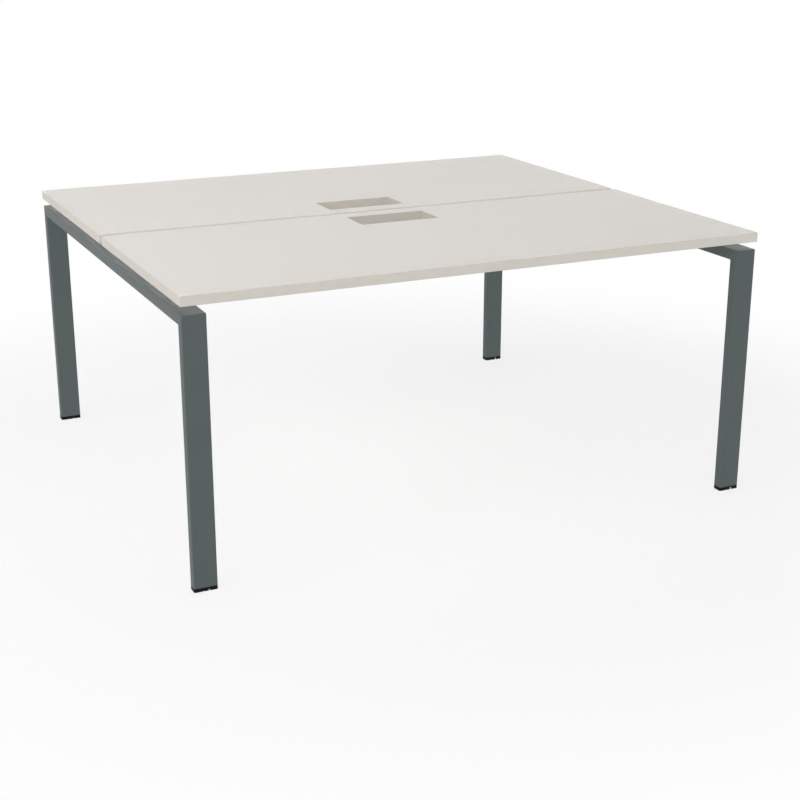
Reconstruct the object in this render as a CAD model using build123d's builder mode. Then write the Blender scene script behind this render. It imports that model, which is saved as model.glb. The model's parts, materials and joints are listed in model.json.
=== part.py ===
from build123d import *

# Benching desk for two: a front and a back worktop float on spacers above two end frames,
# which two beams tie together. Every leg ends in a capped, screw-adjusted levelling foot.
# Millimetres, +X along the desk, +Y from the front user to the back user, +Z up,
# origin on the floor under the middle of the desk.

# Worktops
DESK_HEIGHT = 735.0
TOP_LENGTH = 1600.0
TOP_DEPTH = 700.0
TOP_THICKNESS = 25.0
TOP_GAP = 20.0
EDGING_THICKNESS = 2.0
EDGING_ROUNDING = 1.2
EDGING_JOINT = 0.1
CUTOUT_LENGTH = 230.0
CUTOUT_DEPTH = 110.0
CUTOUT_MARGIN = 50.0
CUTOUT_EDGING = 1.0
CUTOUT_ROUNDING = 0.4

# Flat tube of the end frames and the beams
TUBE_WIDTH = 60.0
TUBE_DEPTH = 30.0
TUBE_WALL = 2.0
TUBE_INNER_RADIUS = 2.0
FRAME_CORNER_RADIUS = 3.0
FRAME_INSET = 2.0
BEAM_SETBACK = 350.0

# Worktop fixings: spacer, long bolt from below, threaded insert in the board
SPACER_HEIGHT = 20.0
SPACER_DIAMETER = 20.0
SPACER_CHAMFER = 0.5
SPACER_MARGIN = 110.0
BEAM_SPACER_MARGIN = 232.0
TOP_BOLT_DIAMETER = 6.0
TOP_BOLT_HEAD = 10.0
TOP_BOLT_HEAD_HEIGHT = 4.0
TOP_BOLT_TIP = 1.0
TOP_WASHER_DIAMETER = 14.0
TOP_WASHER_THICKNESS = 1.6
INSERT_DIAMETER = 10.0
INSERT_COVER = 8.0
INSERT_TOP_ROOM = 2.0

# Beam end plates and their fixings
PLATE_THICKNESS = 5.0
PLATE_BOLT_OFFSET = 13.0
PLATE_END_MARGIN = 15.0
PLATE_RADIUS = 3.0
BEAM_BOLT_DIAMETER = 8.0
BEAM_BOLT_HEAD = 13.0
BEAM_BOLT_HEAD_HEIGHT = 5.3
BEAM_WASHER_DIAMETER = 16.0
BEAM_WASHER_THICKNESS = 1.6
RIVET_NUT_DIAMETER = 11.0
RIVET_NUT_LENGTH = 16.0
RIVET_NUT_FLANGE = 15.0
RIVET_NUT_FLANGE_THICKNESS = 0.8
RIVET_NUT_BULGE = 14.0
RIVET_NUT_BULGE_LENGTH = 4.0

# Leg end caps
FLOOR_CLEARANCE = 1.5
CAP_BAND = 10.0
CAP_ROOF = 2.0
SKIRT_WALL = 2.0
SKIRT_INNER_RADIUS = 1.5
SLOT_WIDTH = 4.0
SLOT_OFFSET = 7.0
SLOT_TOP_MARGIN = 1.5
PLUG_LENGTH = 26.0
PLUG_CLEARANCE = 0.15
PLUG_CORNER_RADIUS = 1.8
PLUG_FLOOR = 3.0
PLUG_WALL = 2.0
PLUG_CORE_MARGIN = 3.0
NUT_COVER = 6.0

# Levelling feet
FOOT_TRAVEL = 15.0
FOOT_SCREW_DIAMETER = 10.0
FOOT_SCREW_CHAMFER = 1.0
FOOT_SCREW_TIP = 3.0
FOOT_NUT_WIDTH = 17.0
FOOT_NUT_THICKNESS = 8.0
GLIDE_HEIGHT = 4.0
GLIDE_CLEARANCE = 0.5
GLIDE_ROUNDING = 1.0
WHEEL_CLEARANCE = 1.0
WHEEL_NOTCHES = 12
WHEEL_NOTCH_DIAMETER = 3.0
WHEEL_STOP_CLEARANCE = 0.3
SWIVEL_CLEARANCE = 0.1
SPIGOT_DIAMETER = 6.0
RIVET_HEAD_DIAMETER = 9.6
RIVET_HEAD_HEIGHT = 1.2
RIVET_HEAD_RECESS = 0.4
RIVET_HEAD_CLEARANCE = 0.5

# Fits
THREAD_CLEARANCE = 0.05
BOLT_CLEARANCE = 0.3
RIVET_NUT_CLEARANCE = 0.1
HEAD_CHAMFER = 0.6

# Levels
top_underside = DESK_HEIGHT - TOP_THICKNESS
rail_top = top_underside - SPACER_HEIGHT
rail_middle = rail_top - TUBE_DEPTH / 2
rail_bottom = rail_top - TUBE_DEPTH
tube_bottom = FLOOR_CLEARANCE + CAP_BAND

# Places in plan
top_middle = (TOP_GAP + TOP_DEPTH) / 2
top_outer = TOP_GAP / 2 + TOP_DEPTH
cutout_middle = TOP_GAP / 2 + CUTOUT_MARGIN + CUTOUT_DEPTH / 2
frame_middle = TOP_LENGTH / 2 - FRAME_INSET - TUBE_WIDTH / 2
frame_inner = frame_middle - TUBE_WIDTH / 2
frame_front = top_outer - FRAME_INSET
leg_middle = frame_front - TUBE_DEPTH / 2
beam_middle = top_outer - BEAM_SETBACK
beam_end = frame_inner - RIVET_NUT_FLANGE_THICKNESS - PLATE_THICKNESS
spacer_inner = TOP_GAP / 2 + SPACER_MARGIN
spacer_outer = top_outer - SPACER_MARGIN
beam_spacer_pitch = beam_end - BEAM_SPACER_MARGIN

# Sizes worked out from the driving ones
edge_rounding = min(EDGING_ROUNDING, 0.7 * EDGING_THICKNESS)
cutout_rounding = min(CUTOUT_ROUNDING, 0.7 * CUTOUT_EDGING)
tube_radius = TUBE_INNER_RADIUS + TUBE_WALL
tube_inner_width = TUBE_WIDTH - 2 * TUBE_WALL
tube_inner_depth = TUBE_DEPTH - 2 * TUBE_WALL
plate_bolt_spacing = TUBE_WIDTH + 2 * PLATE_BOLT_OFFSET
plate_length = plate_bolt_spacing + 2 * PLATE_END_MARGIN
top_bolt_hole = TOP_BOLT_DIAMETER / 2 + BOLT_CLEARANCE
beam_bolt_hole = BEAM_BOLT_DIAMETER / 2 + BOLT_CLEARANCE
insert_hole_depth = TOP_THICKNESS - INSERT_COVER
insert_length = insert_hole_depth - INSERT_TOP_ROOM
top_bolt_length = TOP_WASHER_THICKNESS + TUBE_DEPTH + SPACER_HEIGHT + insert_length - TOP_BOLT_TIP
beam_bolt_length = BEAM_WASHER_THICKNESS + PLATE_THICKNESS + RIVET_NUT_LENGTH - RIVET_NUT_BULGE_LENGTH
cavity_width = TUBE_WIDTH - 2 * SKIRT_WALL
cavity_depth = TUBE_DEPTH - 2 * SKIRT_WALL
cavity_height = CAP_BAND - CAP_ROOF
cavity_top = FLOOR_CLEARANCE + cavity_height
slot_height = cavity_height - SLOT_TOP_MARGIN
plug_width = tube_inner_width - 2 * PLUG_CLEARANCE
plug_depth = tube_inner_depth - 2 * PLUG_CLEARANCE
plug_top = tube_bottom + PLUG_LENGTH
nut_bottom = tube_bottom + NUT_COVER
nut_top = nut_bottom + FOOT_NUT_THICKNESS
plug_core_width = FOOT_NUT_WIDTH * 2 / 3**0.5 + 2 * PLUG_CORE_MARGIN
plug_pocket_width = (plug_width - plug_core_width) / 2 - PLUG_WALL
plug_pocket_pitch = plug_core_width + plug_pocket_width
glide_radius = cavity_depth / 2 - GLIDE_CLEARANCE
wheel_radius = cavity_depth / 2 - WHEEL_CLEARANCE
wheel_bottom = GLIDE_HEIGHT + SWIVEL_CLEARANCE
wheel_top = cavity_top - WHEEL_STOP_CLEARANCE
glide_counterbore = RIVET_HEAD_RECESS + RIVET_HEAD_HEIGHT + SWIVEL_CLEARANCE
foot_screw_top = nut_top + FOOT_TRAVEL + FOOT_SCREW_TIP

# The desk is the same at both ends and for both users
SIDES = {"left": -1, "right": 1}
USERS = {"front": -1, "back": 1}


def rail_fixings(side, user):
    """Plan positions of the two spacers on one rail that carry one user's worktop."""
    return [(side * frame_middle, user * reach) for reach in (spacer_inner, spacer_outer)]


def beam_fixings(user):
    """Plan positions of the three spacers on one beam."""
    return [(step * beam_spacer_pitch, user * beam_middle) for step in (-1, 0, 1)]


def worktop_fixings(user):
    """Plan positions of all the spacers under one worktop."""
    return rail_fixings(SIDES["left"], user) + rail_fixings(SIDES["right"], user) + beam_fixings(user)


def mitre_plane(user):
    """Plane at 45 degrees through the joint of a rail with the leg on one user's side."""
    return Plane(origin=(0, user * frame_front, rail_top), x_dir=(1, 0, 0), z_dir=(0, -user, 1))


def plate_plane(side, user, distance):
    """Plane facing the middle of the desk, square to a beam, at a distance from the rail's inner face."""
    origin = (side * (frame_inner - distance), user * beam_middle, rail_middle)
    return Plane(origin=origin, x_dir=(0, 1, 0), z_dir=(-side, 0, 0))


def leg_plane(side, user, level):
    """Level plane centred on a leg."""
    return Plane((side * frame_middle, user * leg_middle, level))


def tube_profile():
    """Section of the flat tube, in the sketch that calls it."""
    RectangleRounded(TUBE_WIDTH, TUBE_DEPTH, tube_radius)
    RectangleRounded(tube_inner_width, tube_inner_depth, TUBE_INNER_RADIUS, mode=Mode.SUBTRACT)


def hexagon(width):
    """Hexagon given by its width across flats, in the sketch that calls it."""
    RegularPolygon(width / 2, 6, major_radius=False)


# Worktop boards with their cable cut-outs and the blind holes of the threaded inserts
for user_name, user in USERS.items():
    with BuildPart() as board:
        with BuildSketch(Plane.XY.offset(top_underside)):
            with Locations((0, user * top_middle)):
                Rectangle(TOP_LENGTH - 2 * EDGING_THICKNESS, TOP_DEPTH - 2 * EDGING_THICKNESS)
            with Locations((0, user * cutout_middle)):
                Rectangle(
                    CUTOUT_LENGTH + 2 * CUTOUT_EDGING,
                    CUTOUT_DEPTH + 2 * CUTOUT_EDGING,
                    mode=Mode.SUBTRACT,
                )
        extrude(amount=TOP_THICKNESS)
        with BuildSketch(Plane.XY.offset(top_underside)):
            with Locations(*worktop_fixings(user)):
                Circle(INSERT_DIAMETER / 2 + THREAD_CLEARANCE)
        extrude(amount=insert_hole_depth, mode=Mode.SUBTRACT)
    board.part.label = f"{user_name}_worktop_board"
    export_step(board.part, f"parts/{board.part.label}.step")

# Edge banding round each worktop: two long strips, and two short ones between their ends
for user_name, user in USERS.items():
    with BuildPart() as edging:
        with BuildSketch(Plane.XY.offset(top_underside)):
            with Locations((0, user * top_middle)):
                with GridLocations(0, TOP_DEPTH - EDGING_THICKNESS, 1, 2):
                    Rectangle(TOP_LENGTH, EDGING_THICKNESS)
                with GridLocations(TOP_LENGTH - EDGING_THICKNESS, 0, 2, 1):
                    Rectangle(EDGING_THICKNESS, TOP_DEPTH - 2 * (EDGING_THICKNESS + EDGING_JOINT))
        extrude(amount=TOP_THICKNESS)
        end_faces = edging.faces().filter_by(Axis.X).group_by(Axis.X)
        end_edges = (end_faces[0] + end_faces[-1]).edges()
        long_faces = edging.faces().filter_by(Axis.Y).group_by(Axis.Y)
        long_edges = (long_faces[0] + long_faces[-1]).edges()
        corners = end_edges & long_edges
        rims = (end_edges + long_edges).filter_by(Axis.Z, reverse=True)
        fillet(corners + rims, radius=edge_rounding)
    edging.part.label = f"{user_name}_worktop_edging"
    export_step(edging.part, f"parts/{edging.part.label}.step")

# Edge banding on the walls of each cable cut-out
for user_name, user in USERS.items():
    with BuildPart() as lining:
        with BuildSketch(Plane.XY.offset(top_underside)):
            with Locations((0, user * cutout_middle)):
                with GridLocations(0, CUTOUT_DEPTH + CUTOUT_EDGING, 1, 2):
                    Rectangle(CUTOUT_LENGTH + 2 * CUTOUT_EDGING, CUTOUT_EDGING)
                with GridLocations(CUTOUT_LENGTH + CUTOUT_EDGING, 0, 2, 1):
                    Rectangle(CUTOUT_EDGING, CUTOUT_DEPTH - 2 * EDGING_JOINT)
        extrude(amount=TOP_THICKNESS)
        short_walls = lining.faces().filter_by(Axis.X).group_by(Axis.X)
        long_walls = lining.faces().filter_by(Axis.Y).group_by(Axis.Y)
        inner_walls = short_walls[1] + short_walls[-2] + long_walls[1] + long_walls[-2]
        fillet(inner_walls.edges().filter_by(Axis.Z, reverse=True), radius=cutout_rounding)
    lining.part.label = f"{user_name}_cutout_edging"
    export_step(lining.part, f"parts/{lining.part.label}.step")

# Side view of an end frame, with the ground-down outer corners of its mitres
with BuildSketch(Plane.YZ) as frame_outline:
    Rectangle(2 * frame_front, rail_top, align=(Align.CENTER, Align.MIN))
    fillet(frame_outline.vertices().group_by(Axis.Z)[-1], FRAME_CORNER_RADIUS)

# Legs, mitred at the top
for side_name, side in SIDES.items():
    for user_name, user in USERS.items():
        with BuildPart() as leg:
            with BuildSketch(leg_plane(side, user, tube_bottom)):
                tube_profile()
            extrude(amount=rail_top - tube_bottom)
            split(bisect_by=mitre_plane(user), keep=Keep.BOTTOM)
            extrude(frame_outline.sketch, amount=TOP_LENGTH / 2, both=True, mode=Mode.INTERSECT)
        leg.part.label = f"{side_name}_{user_name}_leg"
        export_step(leg.part, f"parts/{leg.part.label}.step")

# End rails, mitred at both ends, drilled for the worktop bolts and the rivet nuts
for side_name, side in SIDES.items():
    rail_start = Plane((side * frame_middle, -frame_front, rail_middle), x_dir=(1, 0, 0), z_dir=(0, 1, 0))
    with BuildPart() as rail:
        with BuildSketch(rail_start):
            tube_profile()
        extrude(amount=2 * frame_front)
        for user in USERS.values():
            split(bisect_by=mitre_plane(user), keep=Keep.TOP)
        extrude(frame_outline.sketch, amount=TOP_LENGTH / 2, both=True, mode=Mode.INTERSECT)
        for user in USERS.values():
            with Locations(*[(x, y, rail_top) for x, y in rail_fixings(side, user)]):
                Hole(top_bolt_hole)
            with BuildSketch(plate_plane(side, user, 0)):
                with GridLocations(plate_bolt_spacing, 0, 2, 1):
                    Circle(RIVET_NUT_DIAMETER / 2 + RIVET_NUT_CLEARANCE)
            extrude(amount=-TUBE_WALL, mode=Mode.SUBTRACT)
    rail.part.label = f"{side_name}_end_rail"
    export_step(rail.part, f"parts/{rail.part.label}.step")

# Beams that tie the end frames together
for user_name, user in USERS.items():
    beam_start = Plane((-beam_end, user * beam_middle, rail_middle), x_dir=(0, 1, 0), z_dir=(1, 0, 0))
    with BuildPart() as beam:
        with BuildSketch(beam_start):
            tube_profile()
        extrude(amount=2 * beam_end)
        with Locations(*[(x, y, rail_top) for x, y in beam_fixings(user)]):
            Hole(top_bolt_hole)
    beam.part.label = f"{user_name}_beam"
    export_step(beam.part, f"parts/{beam.part.label}.step")

# Plates welded to the ends of the beams
for user_name, user in USERS.items():
    for side_name, side in SIDES.items():
        with BuildPart() as plate:
            with BuildSketch(plate_plane(side, user, RIVET_NUT_FLANGE_THICKNESS)):
                RectangleRounded(plate_length, TUBE_DEPTH, PLATE_RADIUS)
                with GridLocations(plate_bolt_spacing, 0, 2, 1):
                    Circle(beam_bolt_hole, mode=Mode.SUBTRACT)
            extrude(amount=PLATE_THICKNESS)
        plate.part.label = f"{user_name}_beam_{side_name}_plate"
        export_step(plate.part, f"parts/{plate.part.label}.step")

# Rivet nuts set in the inner walls of the end rails, each with its flange under a beam plate
with BuildPart() as rivet_nuts:
    for side in SIDES.values():
        for user in USERS.values():
            with BuildSketch(plate_plane(side, user, 0)):
                with GridLocations(plate_bolt_spacing, 0, 2, 1):
                    Circle(RIVET_NUT_FLANGE / 2)
            extrude(amount=RIVET_NUT_FLANGE_THICKNESS)
            with BuildSketch(plate_plane(side, user, 0)):
                with GridLocations(plate_bolt_spacing, 0, 2, 1):
                    Circle(RIVET_NUT_DIAMETER / 2)
            extrude(amount=-RIVET_NUT_LENGTH)
            with BuildSketch(plate_plane(side, user, -TUBE_WALL)):
                with GridLocations(plate_bolt_spacing, 0, 2, 1):
                    Circle(RIVET_NUT_BULGE / 2)
            extrude(amount=-RIVET_NUT_BULGE_LENGTH)
            with BuildSketch(plate_plane(side, user, RIVET_NUT_FLANGE_THICKNESS)):
                with GridLocations(plate_bolt_spacing, 0, 2, 1):
                    Circle(BEAM_BOLT_DIAMETER / 2 + THREAD_CLEARANCE)
            extrude(amount=-RIVET_NUT_FLANGE_THICKNESS - RIVET_NUT_LENGTH, mode=Mode.SUBTRACT)
rivet_nuts.part.label = "rail_rivet_nuts"
export_step(rivet_nuts.part, "parts/rail_rivet_nuts.step")

# Washers and bolts of the beam plates
plate_face = RIVET_NUT_FLANGE_THICKNESS + PLATE_THICKNESS
with BuildPart() as beam_washers:
    for side in SIDES.values():
        for user in USERS.values():
            with BuildSketch(plate_plane(side, user, plate_face)):
                with GridLocations(plate_bolt_spacing, 0, 2, 1):
                    Circle(BEAM_WASHER_DIAMETER / 2)
                    Circle(beam_bolt_hole, mode=Mode.SUBTRACT)
            extrude(amount=BEAM_WASHER_THICKNESS)
beam_washers.part.label = "beam_washers"
export_step(beam_washers.part, "parts/beam_washers.step")

with BuildPart() as beam_bolts:
    for side in SIDES.values():
        for user in USERS.values():
            head_seat = plate_plane(side, user, plate_face + BEAM_WASHER_THICKNESS)
            with BuildSketch(head_seat):
                with GridLocations(plate_bolt_spacing, 0, 2, 1):
                    hexagon(BEAM_BOLT_HEAD)
            extrude(amount=BEAM_BOLT_HEAD_HEIGHT)
            head_ends = beam_bolts.faces(Select.LAST).group_by(Axis((0, 0, 0), head_seat.z_dir))[-1]
            chamfer(head_ends.edges(), HEAD_CHAMFER)
            with BuildSketch(head_seat):
                with GridLocations(plate_bolt_spacing, 0, 2, 1):
                    Circle(BEAM_BOLT_DIAMETER / 2)
            extrude(amount=-beam_bolt_length)
beam_bolts.part.label = "beam_bolts"
export_step(beam_bolts.part, "parts/beam_bolts.step")

# Spacers between the frame and the worktops
rail_spacer_points = [
    point for side in SIDES.values() for user in USERS.values() for point in rail_fixings(side, user)
]
beam_spacer_points = [point for user in USERS.values() for point in beam_fixings(user)]
all_spacer_points = rail_spacer_points + beam_spacer_points
spacer_sets = {"rail_spacers": rail_spacer_points, "beam_spacers": beam_spacer_points}
for spacer_name, points in spacer_sets.items():
    with BuildPart() as spacers:
        with BuildSketch(Plane.XY.offset(rail_top)):
            with Locations(*points):
                Circle(SPACER_DIAMETER / 2)
        extrude(amount=SPACER_HEIGHT)
        chamfer(spacers.edges(), SPACER_CHAMFER)
        with Locations(*[(x, y, top_underside) for x, y in points]):
            Hole(top_bolt_hole)
    spacers.part.label = spacer_name
    export_step(spacers.part, f"parts/{spacer_name}.step")

# Threaded inserts in the undersides of the boards
with BuildPart() as inserts:
    with BuildSketch(Plane.XY.offset(top_underside)):
        with Locations(*all_spacer_points):
            Circle(INSERT_DIAMETER / 2)
            Circle(TOP_BOLT_DIAMETER / 2 + THREAD_CLEARANCE, mode=Mode.SUBTRACT)
    extrude(amount=insert_length)
inserts.part.label = "worktop_inserts"
export_step(inserts.part, "parts/worktop_inserts.step")

# Washers and long bolts that hold the worktops from below
with BuildPart() as top_washers:
    with BuildSketch(Plane.XY.offset(rail_bottom)):
        with Locations(*all_spacer_points):
            Circle(TOP_WASHER_DIAMETER / 2)
            Circle(top_bolt_hole, mode=Mode.SUBTRACT)
    extrude(amount=-TOP_WASHER_THICKNESS)
top_washers.part.label = "worktop_washers"
export_step(top_washers.part, "parts/worktop_washers.step")

with BuildPart() as top_bolts:
    head_top = rail_bottom - TOP_WASHER_THICKNESS
    with BuildSketch(Plane.XY.offset(head_top)):
        with Locations(*all_spacer_points):
            hexagon(TOP_BOLT_HEAD)
    extrude(amount=-TOP_BOLT_HEAD_HEIGHT)
    chamfer(top_bolts.faces().group_by(Axis.Z)[0].edges(), HEAD_CHAMFER)
    with BuildSketch(Plane.XY.offset(head_top)):
        with Locations(*all_spacer_points):
            Circle(TOP_BOLT_DIAMETER / 2)
    extrude(amount=top_bolt_length)
top_bolts.part.label = "worktop_bolts"
export_step(top_bolts.part, "parts/worktop_bolts.step")

# Levelling feet, one in each leg
for side_name, side in SIDES.items():
    for user_name, user in USERS.items():
        leg_name = f"{side_name}_{user_name}"

        # End cap: a plug in the tube, and below it a skirt flush with the tube, slotted to reach the wheel
        with BuildPart() as cap:
            with BuildSketch(leg_plane(side, user, tube_bottom)):
                RectangleRounded(plug_width, plug_depth, PLUG_CORNER_RADIUS)
            extrude(amount=PLUG_LENGTH)
            with BuildSketch(leg_plane(side, user, plug_top)):
                with GridLocations(plug_pocket_pitch, 0, 2, 1):
                    Rectangle(plug_pocket_width, plug_depth - 2 * PLUG_WALL)
            extrude(amount=PLUG_FLOOR - PLUG_LENGTH, mode=Mode.SUBTRACT)
            with BuildSketch(leg_plane(side, user, FLOOR_CLEARANCE)):
                RectangleRounded(TUBE_WIDTH, TUBE_DEPTH, tube_radius)
            extrude(amount=CAP_BAND)
            with BuildSketch(leg_plane(side, user, FLOOR_CLEARANCE)):
                RectangleRounded(cavity_width, cavity_depth, SKIRT_INNER_RADIUS)
            extrude(amount=cavity_height, mode=Mode.SUBTRACT)
            with BuildSketch(leg_plane(side, user, FLOOR_CLEARANCE)):
                with GridLocations(2 * SLOT_OFFSET, TUBE_DEPTH - SKIRT_WALL, 2, 2):
                    Rectangle(SLOT_WIDTH, 2 * SKIRT_WALL)
            extrude(amount=slot_height, mode=Mode.SUBTRACT)
            with BuildSketch(leg_plane(side, user, nut_bottom)):
                hexagon(FOOT_NUT_WIDTH)
            extrude(amount=FOOT_NUT_THICKNESS, mode=Mode.SUBTRACT)
            with BuildSketch(leg_plane(side, user, FLOOR_CLEARANCE)):
                Circle(FOOT_SCREW_DIAMETER / 2 + BOLT_CLEARANCE)
            extrude(amount=plug_top - FLOOR_CLEARANCE, mode=Mode.SUBTRACT)
        cap.part.label = f"{leg_name}_leg_cap"
        export_step(cap.part, f"parts/{cap.part.label}.step")

        # Screw: riveted end, spigot, notched wheel and threaded shank, all on one axis
        with BuildPart() as screw:
            with BuildSketch(leg_plane(side, user, RIVET_HEAD_RECESS)):
                Circle(RIVET_HEAD_DIAMETER / 2)
            extrude(amount=RIVET_HEAD_HEIGHT)
            with BuildSketch(leg_plane(side, user, RIVET_HEAD_RECESS)):
                Circle(SPIGOT_DIAMETER / 2)
            extrude(amount=wheel_bottom - RIVET_HEAD_RECESS)
            with BuildSketch(leg_plane(side, user, wheel_bottom)):
                Circle(wheel_radius)
                with PolarLocations(wheel_radius, WHEEL_NOTCHES):
                    Circle(WHEEL_NOTCH_DIAMETER / 2, mode=Mode.SUBTRACT)
            extrude(amount=wheel_top - wheel_bottom)
            with BuildSketch(leg_plane(side, user, wheel_top)):
                Circle(FOOT_SCREW_DIAMETER / 2)
            extrude(amount=foot_screw_top - wheel_top)
            chamfer(screw.edges().sort_by(Axis.Z)[-1], FOOT_SCREW_CHAMFER)
        screw.part.label = f"{leg_name}_levelling_screw"
        export_step(screw.part, f"parts/{screw.part.label}.step")

        # Glide: a disc on the floor, held on the spigot by the riveted end in its counterbore
        with BuildPart() as glide:
            with BuildSketch(leg_plane(side, user, 0)):
                Circle(glide_radius)
            extrude(amount=GLIDE_HEIGHT)
            fillet(glide.edges().sort_by(Axis.Z)[0], GLIDE_ROUNDING)
            with BuildSketch(leg_plane(side, user, 0)):
                Circle(SPIGOT_DIAMETER / 2 + SWIVEL_CLEARANCE)
            extrude(amount=GLIDE_HEIGHT, mode=Mode.SUBTRACT)
            with BuildSketch(leg_plane(side, user, 0)):
                Circle(RIVET_HEAD_DIAMETER / 2 + RIVET_HEAD_CLEARANCE)
            extrude(amount=glide_counterbore, mode=Mode.SUBTRACT)
        glide.part.label = f"{leg_name}_glide"
        export_step(glide.part, f"parts/{glide.part.label}.step")

# Nuts held in the end caps
leg_points = [(side * frame_middle, user * leg_middle) for side in SIDES.values() for user in USERS.values()]
with BuildPart() as foot_nuts:
    with BuildSketch(Plane.XY.offset(nut_bottom)):
        with Locations(*leg_points):
            hexagon(FOOT_NUT_WIDTH)
            Circle(FOOT_SCREW_DIAMETER / 2 + THREAD_CLEARANCE, mode=Mode.SUBTRACT)
    extrude(amount=FOOT_NUT_THICKNESS)
foot_nuts.part.label = "foot_nuts"
export_step(foot_nuts.part, "parts/foot_nuts.step")
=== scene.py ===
import json
import math

import bmesh
import bpy
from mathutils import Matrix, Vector


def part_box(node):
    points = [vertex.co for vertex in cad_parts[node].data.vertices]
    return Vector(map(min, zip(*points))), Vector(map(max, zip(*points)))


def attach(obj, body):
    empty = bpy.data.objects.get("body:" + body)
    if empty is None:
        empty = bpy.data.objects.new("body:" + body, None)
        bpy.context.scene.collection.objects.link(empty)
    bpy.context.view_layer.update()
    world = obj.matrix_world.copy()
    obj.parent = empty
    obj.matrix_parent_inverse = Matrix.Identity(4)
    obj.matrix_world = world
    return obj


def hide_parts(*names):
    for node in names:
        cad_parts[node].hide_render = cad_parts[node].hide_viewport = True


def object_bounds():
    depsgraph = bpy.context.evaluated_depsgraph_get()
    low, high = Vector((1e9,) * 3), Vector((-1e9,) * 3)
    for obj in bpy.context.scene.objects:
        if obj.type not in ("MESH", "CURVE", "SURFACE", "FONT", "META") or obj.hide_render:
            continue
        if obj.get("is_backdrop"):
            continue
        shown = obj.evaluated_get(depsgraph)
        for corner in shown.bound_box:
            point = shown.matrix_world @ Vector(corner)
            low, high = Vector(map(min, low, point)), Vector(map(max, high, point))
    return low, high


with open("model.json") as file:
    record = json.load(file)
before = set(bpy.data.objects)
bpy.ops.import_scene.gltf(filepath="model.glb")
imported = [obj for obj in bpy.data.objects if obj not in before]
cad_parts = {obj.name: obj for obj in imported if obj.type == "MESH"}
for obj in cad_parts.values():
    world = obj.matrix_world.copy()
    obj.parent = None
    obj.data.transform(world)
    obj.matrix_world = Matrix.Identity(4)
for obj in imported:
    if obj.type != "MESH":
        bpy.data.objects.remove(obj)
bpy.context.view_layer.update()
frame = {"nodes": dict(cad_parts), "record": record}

# Looks of a benching desk for two. Metres, in the CAD frame: +X along the desk, +Y from the front
# user to the back user, +Z up, origin on the floor under the middle of the desk.

scene = bpy.context.scene
scene.view_settings.view_transform = "Standard"

SIDES = {"left": -1, "right": 1}
USERS = ("front", "back")
LEGS = [f"{side}_{user}" for side in SIDES for user in USERS]

# Camera, with its angles in degrees to the right of +Y and below level
CAMERA_PLACE = (-1.72232, -3.84546, 1.57370)
CAMERA_AZIMUTH = 25.075
CAMERA_TILT = 18.5291
CAMERA_LENS = 66.966
CAMERA_REACH = 200.0
SENSOR_WIDTH = 36.0

# Light: a white surround, soft suns and a softbox, together about 0.9 on a level surface.
# The surround's strength falls with the height of its direction. Of the lamps, only the left and
# top suns cast shadows.
SURROUND = {"From Min": 0.0, "From Max": 0.7, "To Min": 1.31, "To Max": 0.06}
SUNS = {
    "key": {"toward": (0.05, -0.87, 0.48), "strength": 0.86, "spread": 60.0, "shadow": False},
    "left": {"toward": (-0.86, -0.22, 0.46), "strength": 0.60, "spread": 40.0, "shadow": True},
    "top": {"toward": (0.10, -0.10, 0.99), "strength": 0.34, "spread": 60.0, "shadow": True},
    "rim": {"toward": (0.42, 0.86, 0.30), "strength": 0.89, "spread": 60.0, "shadow": False},
}
SOFTBOX_PLACE = (-2.3, -0.8, 3.4)
SOFTBOX_SIZE = 2.0
SOFTBOX_POWER = 33.0
WHITE = (1.0, 1.0, 1.0, 1.0)

# Floor: its colour to the eye and to bounced light, and its share of plain white by distance
FLOOR_SIZE = 120.0
FLOOR_COLOUR = (0.98, 0.98, 0.98, 1.0)
FLOOR_BOUNCE = (0.75, 0.75, 0.75, 1.0)
FLOOR_FADE = {"From Min": 1.0, "From Max": 2.4, "To Min": 0.62, "To Max": 1.0}

# Colours, linear
MELAMINE = (0.66, 0.633, 0.587)
EDGING = (0.65, 0.614, 0.562)
# The cut-outs' banding is darker than the outer banding: painted shade for the shade that falls
# inside the cut-outs.
CUTOUT_EDGING_PAINTED_SHADE = (0.52, 0.482, 0.424)
PAINT = (0.077, 0.096, 0.095)
BLACK_PLASTIC = (0.006, 0.0065, 0.007)
BLACK_STEEL = (0.05, 0.05, 0.055)
ZINC = (0.62, 0.62, 0.60)

# Part of a noise's range that is stretched to run from 0 to 1
NOISE_LOW = 0.3
NOISE_HIGH = 0.7
# Agreement between the true and the rounded normal where edge wear starts and where it is full
WEAR_START = 0.98
WEAR_FULL = 0.80
# Stretch of the drawn lines on plated steel, and how much rougher its cloudy spots are
DRAWN_LINES = (1.0, 1.0, 6.0)
PLATING_CLOUD = 0.14

# Levelling screws. The thread's profile gives places along the pitch and the share of the depth
# there, and its spare turns are cut away. Half a notch has fewer steps than a quarter turn would
# take, so that it ends just inside the rim.
THREAD_PITCH = 0.0015
THREAD_DEPTH = 0.00092
THREAD_PROFILE = ((0.0, 0.0), (0.125, 0.0), (0.4375, 1.0), (0.6875, 1.0))
THREAD_SPARE_TURNS = 3
ROUND_STEPS = 48
SCREW_RADIUS = 0.005
SCREW_CHAMFER = 0.001
SPIGOT_RADIUS = 0.003
RIVET_RADIUS = 0.0048
RIVET_LEVELS = (0.0004, 0.0016)
WHEEL_LEVELS = (0.0041, 0.0092)
WHEEL_RADIUS = 0.012
WHEEL_CHAMFER = 0.0004
WHEEL_ARC_STEPS = 5
WHEEL_NOTCHES = 12
WHEEL_NOTCH_RADIUS = 0.0015
NOTCH_HALF_STEPS = 4
NOTCH_QUARTER_STEPS = 4.3
CUT_TOLERANCE = 1e-7
LEVEL_TOLERANCE = 1e-6

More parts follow.
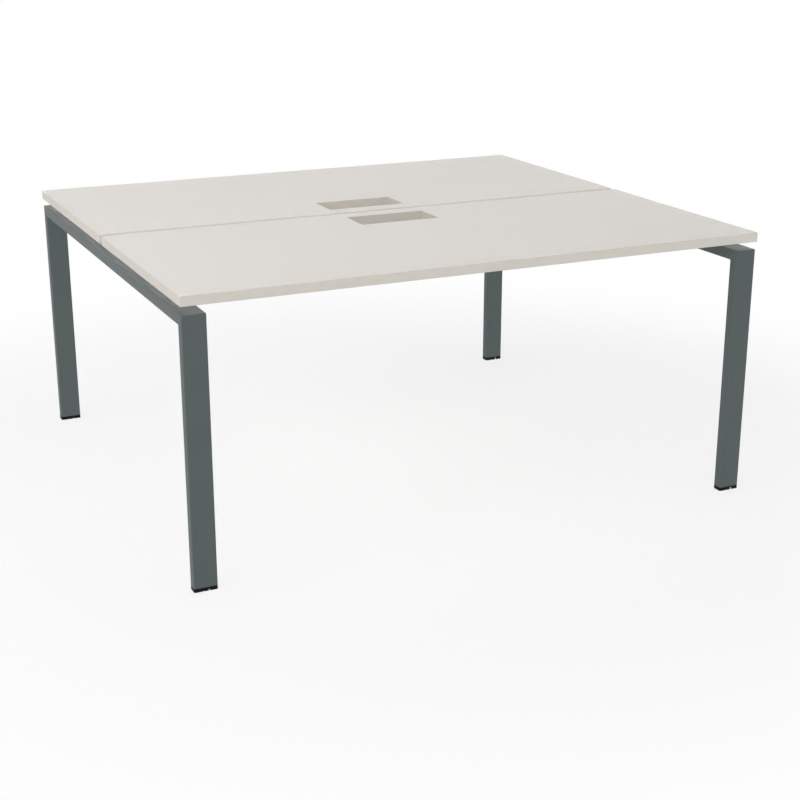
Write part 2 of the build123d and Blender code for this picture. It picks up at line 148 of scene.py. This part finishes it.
# Weld beads between each beam and its end plates. An arc's end that is flush with a face is sunk
# into it. The sizes at the ends and at the waist are shares of the full size.
BEAD_LEG = 0.0040
BEAD_SINK = 0.0003
BEAD_MARGIN = 0.0035
BEAD_STEPS = 44
BEAD_ARC_STEPS = 7
BEAD_RIPPLE = 0.10
BEAD_PERIOD = 0.0021
BEAD_LAG = 0.0008
BEAD_END_SIZE = 0.45
BEAD_TAPER = 6.0
BEAD_WAIST = 0.74
BEAD_FLUSH = 1e-5

SHARP_ANGLE = math.radians(35)


def add_node(tree, kind, inputs=None, **settings):
    """A new node, whose inputs are given as values or as the outputs of other nodes."""
    node = tree.nodes.new(kind)
    for name, value in settings.items():
        setattr(node, name, value)
    for name, value in (inputs or {}).items():
        if isinstance(value, bpy.types.NodeSocket):
            tree.links.new(value, node.inputs[name])
        else:
            node.inputs[name].default_value = value
    return node


def scaled(colour, factor):
    return tuple(channel * factor for channel in colour) + (1.0,)


class Surface:
    """A procedural material whose colour, gloss and relief vary over the surface."""

    def __init__(self, name, metallic=0.0, specular=0.5):
        self.material = bpy.data.materials.new(name)
        self.material.use_nodes = True
        self.tree = self.material.node_tree
        self.shader = self.tree.nodes["Principled BSDF"]
        self.shader.inputs["Metallic"].default_value = metallic
        self.shader.inputs["Specular IOR Level"].default_value = specular
        self.coordinates = self.add("ShaderNodeTexCoord").outputs["Object"]
        self.normal = None

    def add(self, kind, inputs=None, **settings):
        return add_node(self.tree, kind, inputs, **settings)

    def noise(self, scale, detail, stretch=None):
        """Smooth noise with a feature size of about 1 / scale metres."""
        vector = self.coordinates
        if stretch is not None:
            mapping = self.add("ShaderNodeMapping", {"Vector": vector, "Scale": stretch})
            vector = mapping.outputs["Vector"]
        inputs = {"Vector": vector, "Scale": scale, "Detail": detail}
        return self.add("ShaderNodeTexNoise", inputs).outputs["Fac"]

    def spread(self, value, low, high, out_low, out_high):
        """Stretches a value from one range to another."""
        inputs = {
            "Value": value,
            "From Min": low,
            "From Max": high,
            "To Min": out_low,
            "To Max": out_high,
        }
        return self.add("ShaderNodeMapRange", inputs).outputs["Result"]

    def patches(self, scale, detail):
        """Noise that runs from 0 to 1."""
        return self.spread(self.noise(scale, detail), NOISE_LOW, NOISE_HIGH, 0.0, 1.0)

    def weighted(self, value, weight, other):
        """value * weight + other."""
        inputs = {0: value, 1: weight, 2: other}
        return self.add("ShaderNodeMath", inputs, operation="MULTIPLY_ADD").outputs["Value"]

    def mixture(self, first, share, second):
        """A share of the first value and the rest of the second."""
        return self.weighted(first, share, self.weighted(second, 1.0 - share, 0.0))

    def blend(self, factor, first, second):
        """Mixes two colours, which are sockets 6 and 7 of the node and its output 2."""
        inputs = {0: factor, 6: first, 7: second}
        return self.add("ShaderNodeMix", inputs, data_type="RGBA").outputs[2]

    def shades(self, tone, colour, dark, light):
        """A colour that runs between two factors of itself."""
        return self.blend(tone, scaled(colour, dark), scaled(colour, light))

    def worn_edges(self, body, edge, radius, strength):
        """A colour with another one along the sharp outer edges."""
        rounded = self.add("ShaderNodeBevel", {"Radius": radius}).outputs["Normal"]
        true = self.add("ShaderNodeNewGeometry").outputs["Normal"]
        agreement = self.add("ShaderNodeVectorMath", {0: rounded, 1: true}, operation="DOT_PRODUCT")
        wear = self.spread(agreement.outputs["Value"], WEAR_START, WEAR_FULL, 0.0, strength)
        return self.blend(wear, body, edge)

    def relief(self, height, depth):
        """Adds a relief of a given depth in metres to the surface."""
        inputs = {"Height": height, "Strength": 1.0, "Distance": depth}
        if self.normal is not None:
            inputs["Normal"] = self.normal
        self.normal = self.add("ShaderNodeBump", inputs).outputs["Normal"]

    def finish(self, colour, tone, smooth, rough):
        """Joins colour, relief and a roughness that follows a tone to the shader."""
        roughness = self.spread(tone, 0.0, 1.0, smooth, rough)
        self.tree.links.new(colour, self.shader.inputs["Base Color"])
        self.tree.links.new(roughness, self.shader.inputs["Roughness"])
        self.tree.links.new(self.normal, self.shader.inputs["Normal"])
        return self.material


def make_melamine():
    """Faced board: faint clouding, a fine speckle and a pearl-textured face."""
    surface = Surface("worktop_melamine_face", specular=0.12)
    cloud = surface.patches(scale=2.5, detail=3.0)
    speckle = surface.patches(scale=700.0, detail=1.0)
    tone = surface.mixture(speckle, 0.7, cloud)
    colour = surface.shades(tone, MELAMINE, dark=0.97, light=1.03)
    surface.relief(surface.noise(scale=850.0, detail=2.0), depth=0.00008)
    surface.relief(surface.noise(scale=260.0, detail=1.0), depth=0.00003)
    return surface.finish(colour, tone, smooth=0.42, rough=0.54)


def make_edging(name, band):
    """Extruded edge banding, a little smoother than the board's face."""
    surface = Surface(name, specular=0.1)
    cloud = surface.patches(scale=14.0, detail=3.0)
    speckle = surface.patches(scale=900.0, detail=1.0)
    tone = surface.mixture(speckle, 0.5, cloud)
    colour = surface.shades(tone, band, dark=0.97, light=1.03)
    surface.relief(surface.noise(scale=1100.0, detail=1.0), depth=0.000025)
    return surface.finish(colour, speckle, smooth=0.38, rough=0.46)


def make_paint(name, ripple=0.0):
    """Powder coat: orange peel, fine grain, thinner and lighter on the edges."""
    surface = Surface(name, specular=0.36)
    cloud = surface.patches(scale=6.0, detail=4.0)
    grain = surface.patches(scale=900.0, detail=2.0)
    tone = surface.mixture(grain, 0.6, cloud)
    body = surface.shades(tone, PAINT, dark=0.92, light=1.08)
    colour = surface.worn_edges(body, scaled(PAINT, 1.25), radius=0.0025, strength=0.35)
    surface.relief(surface.noise(scale=420.0, detail=1.0), depth=0.00006)
    surface.relief(surface.noise(scale=1400.0, detail=1.0), depth=0.00006)
    if ripple:
        surface.relief(surface.noise(scale=900.0, detail=2.0), depth=ripple)
    return surface.finish(colour, tone, smooth=0.46, rough=0.56)


def make_black_plastic():
    """Moulded plastic with a fine spark-eroded grain."""
    surface = Surface("black_plastic_moulded", specular=0.08)
    cloud = surface.patches(scale=40.0, detail=3.0)
    body = surface.shades(cloud, BLACK_PLASTIC, dark=0.85, light=1.2)
    colour = surface.worn_edges(body, scaled(BLACK_PLASTIC, 2.2), radius=0.0008, strength=0.5)
    surface.relief(surface.noise(scale=2200.0, detail=2.0), depth=0.00004)
    return surface.finish(colour, cloud, smooth=0.48, rough=0.62)


def make_steel(name, plating, roughness):
    """Plated steel with faint drawn lines and a cloudy plating."""
    surface = Surface(name, metallic=1.0)
    cloud = surface.patches(scale=180.0, detail=3.0)
    lines = surface.noise(scale=900.0, detail=2.0, stretch=DRAWN_LINES)
    colour = surface.shades(cloud, plating, dark=0.85, light=1.08)
    surface.relief(lines, depth=0.000006)
    return surface.finish(colour, cloud, smooth=roughness, rough=roughness + PLATING_CLOUD)


def mesh_piece(name, build, material, body):
    """A new piece of the desk, made of mesh code and carried by a CAD body."""
    mesh = bpy.data.meshes.new(name)
    work = bmesh.new()
    build(work)
    bmesh.ops.recalc_face_normals(work, faces=work.faces[:])
    work.to_mesh(mesh)
    work.free()
    piece = bpy.data.objects.new(name, mesh)
    scene.collection.objects.link(piece)
    mesh.materials.append(material)
    mesh.shade_smooth()
    mesh.set_sharp_from_angle(angle=SHARP_ANGLE)
    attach(piece, body)
    return piece


def ring(work, points):
    """Adds a closed loop of vertices."""
    return [work.verts.new(point) for point in points]


def bridge(work, lower, upper):
    """Quads between two loops of the same length."""
    count = len(lower)
    for i in range(count):
        j = (i + 1) % count
        work.faces.new((lower[i], lower[j], upper[j], upper[i]))


def loop_edges(work, loop):
    """The edges along a closed loop of vertices, made where they are missing."""
    pairs = zip(loop, loop[1:] + loop[:1])
    return [work.edges.get(pair) or work.edges.new(pair) for pair in pairs]


def border_at(work, level):
    """The open edges that lie at a level."""
    return [
        edge for edge in work.edges
        if edge.is_boundary and all(abs(v.co.z - level) < LEVEL_TOLERANCE for v in edge.verts)
    ]


def fill(work, edges):
    """Flat face inside closed loops of edges. Loops inside others are holes."""
    bmesh.ops.triangle_fill(work, use_beauty=True, use_dissolve=False, edges=edges)


def circle_points(centre, radius, level):
    points = []
    for i in range(ROUND_STEPS):
        angle = 2 * math.pi * i / ROUND_STEPS
        x = centre.x + radius * math.cos(angle)
        y = centre.y + radius * math.sin(angle)
        points.append(Vector((x, y, level)))
    return points


def wheel_points(centre, radius, level):
    """Outline of the wheel: round notches cut into its rim, and the arcs between them."""
    half_notch = 2 * math.asin(WHEEL_NOTCH_RADIUS / (2 * WHEEL_RADIUS))
    factor = radius / WHEEL_RADIUS
    points = []
    for notch in range(WHEEL_NOTCHES):
        middle = 2 * math.pi * notch / WHEEL_NOTCHES
        following = middle + 2 * math.pi / WHEEL_NOTCHES
        on_rim = Vector((math.cos(middle), math.sin(middle))) * WHEEL_RADIUS
        across = Vector((-math.sin(middle), math.cos(middle)))
        inward = -on_rim.normalized()
        for i in range(-NOTCH_HALF_STEPS, NOTCH_HALF_STEPS + 1):
            turn = math.radians(90) * i / NOTCH_QUARTER_STEPS
            way = across * math.sin(turn) + inward * math.cos(turn)
            points.append(on_rim + WHEEL_NOTCH_RADIUS * way)
        arc = following - middle - 2 * half_notch
        for i in range(WHEEL_ARC_STEPS + 1):
            angle = middle + half_notch + arc * i / WHEEL_ARC_STEPS
            points.append(Vector((math.cos(angle), math.sin(angle))) * WHEEL_RADIUS)
    return [Vector((centre.x + p.x * factor, centre.y + p.y * factor, level)) for p in points]


def add_thread(work, centre, start, end):
    """The threaded shank, cut level and left open at both ends."""
    turns = math.ceil((end - start) / THREAD_PITCH) + THREAD_SPARE_TURNS
    base = start - THREAD_SPARE_TURNS / 2 * THREAD_PITCH
    rows = [
        (base + (turn + place) * THREAD_PITCH, SCREW_RADIUS - THREAD_DEPTH * depth)
        for turn in range(turns)
        for place, depth in THREAD_PROFILE
    ]
    grid = []
    for level, radius in rows:
        points = []
        for i in range(ROUND_STEPS):
            angle = 2 * math.pi * i / ROUND_STEPS
            z = level + THREAD_PITCH * i / ROUND_STEPS
            reach = min(radius, SCREW_RADIUS - max(0.0, z - (end - SCREW_CHAMFER)))
            x = centre.x + reach * math.cos(angle)
            y = centre.y + reach * math.sin(angle)
            points.append((x, y, z))
        grid.append(ring(work, points))
    step = len(THREAD_PROFILE)
    for j in range(len(rows) - step - 1):
        for i in range(ROUND_STEPS):
            last = i == ROUND_STEPS - 1
            right = grid[j + step][0] if last else grid[j][i + 1]
            right_up = grid[j + step + 1][0] if last else grid[j + 1][i + 1]
            work.faces.new((grid[j][i], right, right_up, grid[j + 1][i]))
    for vertex in [v for v in work.verts if not v.link_faces]:
        work.verts.remove(vertex)
    for level, above in ((start, False), (end, True)):
        bmesh.ops.bisect_plane(
            work,
            geom=work.verts[:] + work.edges[:] + work.faces[:],
            dist=CUT_TOLERANCE,
            plane_co=(0, 0, level),
            plane_no=(0, 0, 1),
            clear_outer=above,
            clear_inner=not above,
        )


def build_screw(centre, tip):
    """A levelling screw: threaded shank, notched wheel, and a spigot with a riveted end."""
    def build(work):
        low, high = WHEEL_LEVELS
        small = WHEEL_RADIUS - WHEEL_CHAMFER
        add_thread(work, centre, high, tip)
        fill(work, border_at(work, tip))
        shank_edges = border_at(work, high)
        rims = [
            ring(work, wheel_points(centre, small, low)),
            ring(work, wheel_points(centre, WHEEL_RADIUS, low + WHEEL_CHAMFER)),
            ring(work, wheel_points(centre, WHEEL_RADIUS, high - WHEEL_CHAMFER)),
            ring(work, wheel_points(centre, small, high)),
        ]
        for lower, upper in zip(rims, rims[1:]):
            bridge(work, lower, upper)
        fill(work, loop_edges(work, rims[-1]) + shank_edges)
        spigot = [
            ring(work, circle_points(centre, SPIGOT_RADIUS, z)) for z in (RIVET_LEVELS[1], low)
        ]
        head = [ring(work, circle_points(centre, RIVET_RADIUS, z)) for z in RIVET_LEVELS]
        bridge(work, *spigot)
        bridge(work, *head)
        fill(work, loop_edges(work, rims[0]) + loop_edges(work, spigot[1]))
        fill(work, loop_edges(work, head[1]) + loop_edges(work, spigot[0]))
        work.faces.new(head[0])
    return build


def bead_points(corner, low, high, share):
    """Outline of a bead at a share of its height: a point sunk in the corner, and an arc."""
    x, y, along, across = corner
    level = low + (high - low) * share
    taper = min(1.0, BEAD_END_SIZE + BEAD_TAPER * min(share, 1.0 - share))
    ripple = BEAD_RIPPLE * math.cos(2 * math.pi * (level - low) / BEAD_PERIOD)
    points = [(x - along * BEAD_SINK, y - across * BEAD_SINK, level)]
    for i in range(BEAD_ARC_STEPS + 1):
        angle = math.pi / 2 * i / BEAD_ARC_STEPS
        bulge = math.sin(2 * angle)
        crown = BEAD_WAIST + (1.0 - BEAD_WAIST) * abs(math.cos(2 * angle))
        reach = BEAD_LEG * taper * crown * (1.0 + ripple * bulge)
        out, aside = (
            distance if distance > BEAD_FLUSH else -BEAD_SINK
            for distance in (reach * math.cos(angle), reach * math.sin(angle))
        )
        points.append((x + along * out, y + across * aside, level + BEAD_LAG * bulge))
    return points


def build_beads(corners, low, high):
    """Upright rippled fillets. A corner is its x and y, and its ways along beam and plate."""
    def build(work):
        for corner in corners:
            sections = [
                ring(work, bead_points(corner, low, high, k / BEAD_STEPS))
                for k in range(BEAD_STEPS + 1)
            ]
            for lower, upper in zip(sections, sections[1:]):
                bridge(work, lower, upper)
            work.faces.new(sections[0])
            work.faces.new(sections[-1])
    return build


def mix_shaders(tree, factor, first, second):
    inputs = {0: factor, 1: first.outputs[0], 2: second.outputs[0]}
    return add_node(tree, "ShaderNodeMixShader", inputs)


def seen_rays(tree):
    """1 for rays that show the surround itself: straight, mirrored or through glass."""
    path = add_node(tree, "ShaderNodeLightPath")
    seen = path.outputs["Is Camera Ray"]
    for kind in ("Is Glossy Ray", "Is Transmission Ray"):
        inputs = {0: seen, 1: path.outputs[kind]}
        seen = add_node(tree, "ShaderNodeMath", inputs, operation="MAXIMUM").outputs[0]
    return seen


def make_floor():
    """A pale floor that takes shadows, fades to white, and is clear from below."""
    mesh = bpy.data.meshes.new("floor")
    half = FLOOR_SIZE / 2
    corners = [(-half, -half, 0), (half, -half, 0), (half, half, 0), (-half, half, 0)]
    mesh.from_pydata(corners, [], [(0, 1, 2, 3)])
    floor = bpy.data.objects.new("floor", mesh)
    scene.collection.objects.link(floor)
    material = bpy.data.materials.new("floor_pale")
    material.use_nodes = True
    tree = material.node_tree
    tree.nodes.clear()
    seen = seen_rays(tree)
    matt = add_node(tree, "ShaderNodeBsdfDiffuse", {"Color": FLOOR_COLOUR})
    bounce = add_node(tree, "ShaderNodeBsdfDiffuse", {"Color": FLOOR_BOUNCE})
    shaded = mix_shaders(tree, seen, bounce, matt)
    place = add_node(tree, "ShaderNodeTexCoord").outputs["Object"]
    distance = add_node(tree, "ShaderNodeVectorMath", {0: place}, operation="LENGTH")
    fade = add_node(tree, "ShaderNodeMapRange", FLOOR_FADE, interpolation_type="SMOOTHSTEP")
    tree.links.new(distance.outputs["Value"], fade.inputs["Value"])
    inputs = {0: seen, 1: fade.outputs[0]}
    share = add_node(tree, "ShaderNodeMath", inputs, operation="MULTIPLY").outputs[0]
    white = add_node(tree, "ShaderNodeEmission")
    faded = mix_shaders(tree, share, shaded, white)
    below = add_node(tree, "ShaderNodeNewGeometry").outputs["Backfacing"]
    clear = add_node(tree, "ShaderNodeBsdfTransparent")
    surface = mix_shaders(tree, below, faded, clear)
    add_node(tree, "ShaderNodeOutputMaterial", {"Surface": surface.outputs[0]})
    mesh.materials.append(material)
    floor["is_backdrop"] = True


def make_world():
    """White where it is seen or mirrored, and a soft light, brightest low down, elsewhere."""
    world = bpy.data.worlds.new("surround")
    scene.world = world
    world.use_nodes = True
    tree = world.node_tree
    tree.nodes.clear()
    place = add_node(tree, "ShaderNodeTexCoord").outputs["Generated"]
    direction = add_node(tree, "ShaderNodeSeparateXYZ", {0: place})
    dimmer = add_node(tree, "ShaderNodeMapRange", SURROUND)
    tree.links.new(direction.outputs["Z"], dimmer.inputs["Value"])
    inputs = {"Color": WHITE, "Strength": dimmer.outputs[0]}
    soft = add_node(tree, "ShaderNodeBackground", inputs)
    white = add_node(tree, "ShaderNodeBackground", {"Color": WHITE, "Strength": 1.0})
    surface = mix_shaders(tree, seen_rays(tree), soft, white)
    add_node(tree, "ShaderNodeOutputWorld", {"Surface": surface.outputs[0]})


def make_lamp(name, kind, toward, strength, shadow):
    """A lamp that shines from a direction. Without shadows it also lights what lies behind."""
    data = bpy.data.lights.new(name, kind)
    data.energy = strength
    data.use_shadow = shadow
    data.cycles.use_multiple_importance_sampling = shadow
    lamp = bpy.data.objects.new(name, data)
    lamp.rotation_mode = "QUATERNION"
    lamp.rotation_quaternion = Vector(toward).to_track_quat("Z", "Y")
    scene.collection.objects.link(lamp)
    return lamp


def make_sun(name, toward, strength, spread, shadow):
    sun = make_lamp(name, "SUN", toward, strength, shadow)
    sun.data.angle = math.radians(spread)


def make_softbox():
    softbox = make_lamp("softbox", "AREA", SOFTBOX_PLACE, SOFTBOX_POWER, shadow=False)
    softbox.data.size = SOFTBOX_SIZE
    softbox.location = SOFTBOX_PLACE


def make_camera():
    data = bpy.data.cameras.new("camera")
    data.sensor_width = SENSOR_WIDTH
    data.lens = CAMERA_LENS
    data.clip_end = CAMERA_REACH
    camera = bpy.data.objects.new("camera", data)
    camera.location = CAMERA_PLACE
    camera.rotation_euler = (math.radians(90 - CAMERA_TILT), 0.0, -math.radians(CAMERA_AZIMUTH))
    scene.collection.objects.link(camera)
    scene.camera = camera


# Materials, and the CAD nodes that wear them
paint = make_paint("frame_paint_powder_coat")
weld_paint = make_paint("frame_paint_on_weld", ripple=0.00004)
melamine = make_melamine()
edging = make_edging("worktop_edging_band", EDGING)
# The cut-outs' banding is the outer banding made darker: painted shade for the shade inside the
# cut-outs.
cutout_edging = make_edging("cutout_edging_painted_shade", CUTOUT_EDGING_PAINTED_SHADE)
black_plastic = make_black_plastic()
black_steel = make_steel("black_steel_plating", BLACK_STEEL, roughness=0.32)
zinc = make_steel("zinc_steel_plating", ZINC, roughness=0.26)

SLOT_MATERIALS = {
    "worktop_melamine": melamine,
    "worktop_edging": edging,
    "cutout_edging": cutout_edging,
    "frame_paint": paint,
    "spacer_steel": paint,
    "black_plastic": black_plastic,
    "black_steel": black_steel,
    "zinc_steel": zinc,
}
for subpart in frame["record"]["subparts"]:
    node = frame["nodes"][subpart["node"]]
    node.data.materials.clear()
    node.data.materials.append(SLOT_MATERIALS[subpart["material_slot"]])

# Levelling screws with real threads, in place of the plain ones
for leg in LEGS:
    node_name = f"{leg}_levelling_screw"
    low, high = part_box(node_name)
    screw = mesh_piece(
        f"{leg}_threaded_screw",
        build_screw((low + high) / 2, high.z),
        black_steel,
        f"{leg}_screw",
    )
    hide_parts(node_name)

# Welds in the upright corners between beams and plates
for user in USERS:
    for side, direction in SIDES.items():
        plate_low, plate_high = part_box(f"{user}_beam_{side}_plate")
        beam_low, beam_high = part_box(f"{user}_beam")
        face = plate_low.x if direction > 0 else plate_high.x
        corners = [(face, beam_low.y, -direction, -1), (face, beam_high.y, -direction, 1)]
        mesh_piece(
            f"{user}_beam_{side}_weld",
            build_beads(corners, beam_low.z + BEAD_MARGIN, beam_high.z - BEAD_MARGIN),
            weld_paint,
            "desk",
        )

# Floor, surround, lamps and camera
make_floor()
make_world()
for sun_name, sun in SUNS.items():
    make_sun(f"{sun_name}_sun", **sun)
make_softbox()
make_camera()

low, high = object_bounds()
